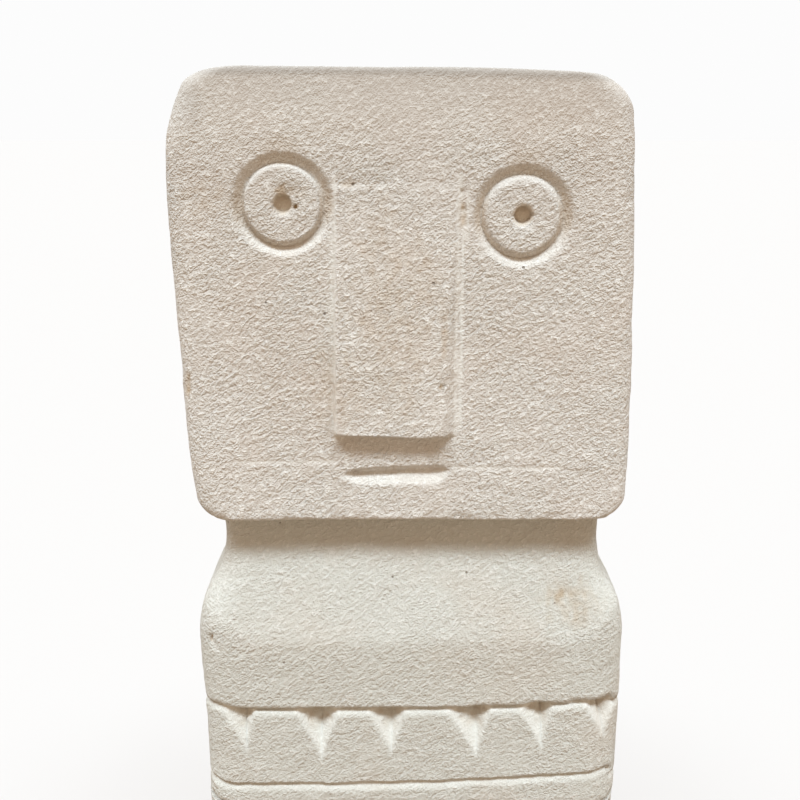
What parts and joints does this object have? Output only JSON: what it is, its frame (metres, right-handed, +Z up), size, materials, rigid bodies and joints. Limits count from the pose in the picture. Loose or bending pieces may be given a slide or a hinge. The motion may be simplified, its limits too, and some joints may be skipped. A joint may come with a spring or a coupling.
{
  "type": "carved stone figure",
  "caption": "Free-standing figure carved from one block of pale stone: square head with ring eyes, wedge nose and slit mouth on a block body with toothed bands, on felt pads.",
  "frame": {"origin": "middle of the footprint, on the surface that the felt pads stand on", "axes": "+Z up the figure, the face looks to -Y, +X to the right of a viewer who faces the figure"},
  "size_m": [0.136, 0.116, 0.401],
  "materials": {
    "stone": "sawn and rubbed soft limestone, matt, with a coarse even grain",
    "felt": "pressed wool felt, self-adhesive"
  },
  "bodies": {
    "root": {"stone_figure": "stone", "felt_pad_front_left": "felt", "felt_pad_front_right": "felt", "felt_pad_back_left": "felt", "felt_pad_back_right": "felt"}
  },
  "joints": []
}
